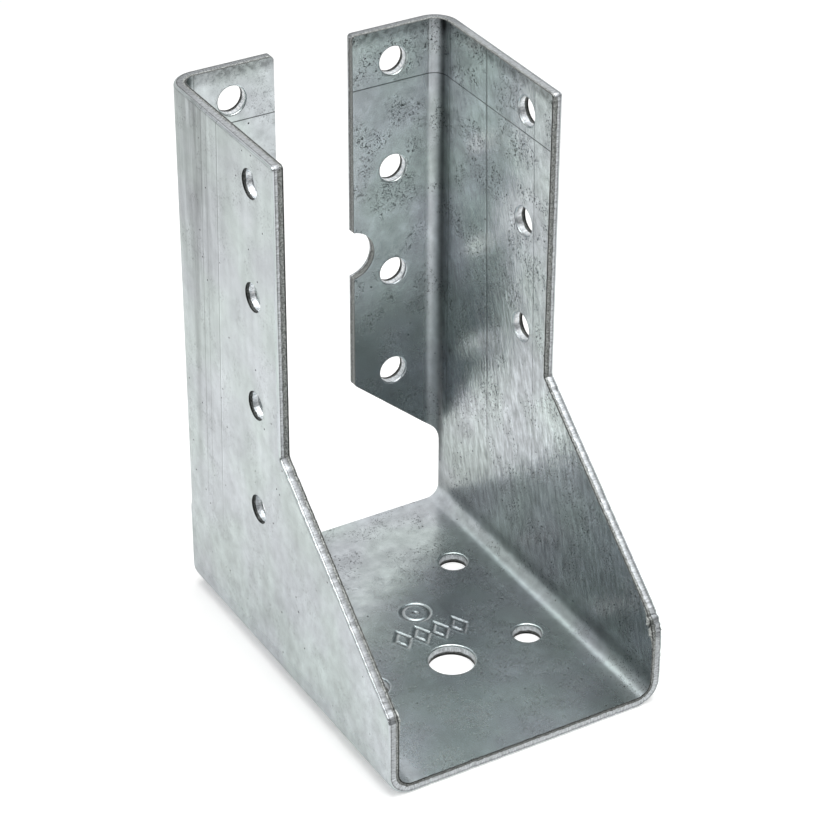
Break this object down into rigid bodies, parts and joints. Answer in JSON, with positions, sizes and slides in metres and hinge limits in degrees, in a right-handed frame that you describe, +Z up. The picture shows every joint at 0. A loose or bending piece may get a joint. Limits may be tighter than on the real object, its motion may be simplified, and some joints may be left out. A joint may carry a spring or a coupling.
{
  "type": "joist hanger",
  "caption": "Folded sheet-steel joist hanger: a flat seat, two cheeks with slanting fronts, and inward flanges with nail holes for the header.",
  "frame": {"origin": "on the underside of the seat, midway between the cheeks and midway between the header face and the seat's front edge", "axes": "+X across the hanger from the left cheek to the right one, +Y towards the header that the flanges are nailed to, +Z up"},
  "size_m": [0.052, 0.0716, 0.097],
  "materials": {
    "galvanised_steel": "hot-dip galvanised sheet steel, dull grey zinc with sheared bare edges"
  },
  "bodies": {
    "root": {"hanger": "galvanised_steel"}
  },
  "joints": []
}
